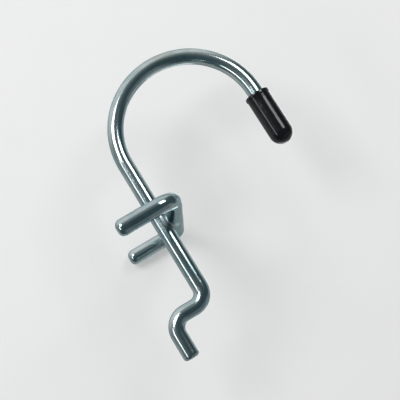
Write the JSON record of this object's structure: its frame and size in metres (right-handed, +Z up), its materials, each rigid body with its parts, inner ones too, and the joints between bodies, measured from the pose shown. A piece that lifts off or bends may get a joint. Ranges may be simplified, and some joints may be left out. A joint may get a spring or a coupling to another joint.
{
  "type": "pegboard hook",
  "caption": "Bent zinc-plated wire hook with an upturned prong, a U-shaped brace welded across the shank, a round curl and a black vinyl cap on the tip, for perforated board.",
  "frame": {"origin": "centre of the upper hole of the board, on the board's front face", "axes": "+Y out of the board towards the user, +Z up, X along the row of holes"},
  "size_m": [0.0556, 0.0623, 0.0824],
  "materials": {
    "zinc": "bright zinc plate on drawn steel wire, faintly blue, fine draw lines",
    "vinyl": "glossy black soft vinyl"
  },
  "bodies": {
    "root": {"hook_wire": "zinc", "brace_wire": "zinc", "tip_cap": "vinyl"}
  },
  "joints": []
}
